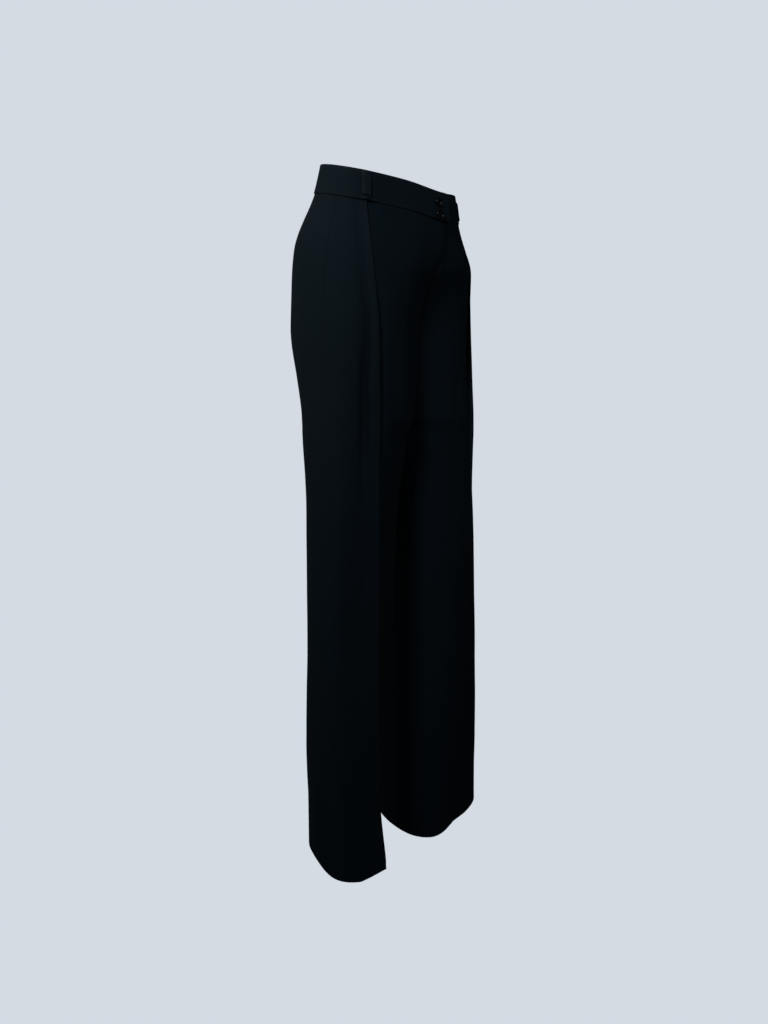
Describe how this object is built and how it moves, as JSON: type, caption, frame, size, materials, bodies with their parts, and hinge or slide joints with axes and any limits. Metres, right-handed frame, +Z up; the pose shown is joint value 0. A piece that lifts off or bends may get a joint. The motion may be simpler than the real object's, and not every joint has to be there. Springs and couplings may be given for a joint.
{
  "type": "palazzo trousers",
  "caption": "High-waisted black palazzo trousers with pressed front pleats, wide legs, belt loops and a buttoned waistband; filled out, open at waist and hems.",
  "frame": {"origin": "centre of the waist, at half the height of the waistband, where the wearer's waist holds the trousers up", "axes": "+Z up, front towards -Y, the wearer's left towards +X"},
  "size_m": [0.4298, 0.2374, 1.0867],
  "materials": {
    "black_cloth": "matte black crepe suiting with a faint blue cast",
    "button_gloss": "glossy black"
  },
  "bodies": {
    "root": {"front_right": "black_cloth", "front_left": "black_cloth", "back_right": "black_cloth", "back_left": "black_cloth", "waistband_right": "black_cloth", "waistband_left": "black_cloth", "fly": "black_cloth", "belt_loop_front_right": "black_cloth", "belt_loop_front_left": "black_cloth", "belt_loop_back_right": "black_cloth", "belt_loop_back_left": "black_cloth", "belt_loop_centre_back": "black_cloth", "button_lower": "button_gloss", "button_upper": "button_gloss"}
  },
  "joints": []
}
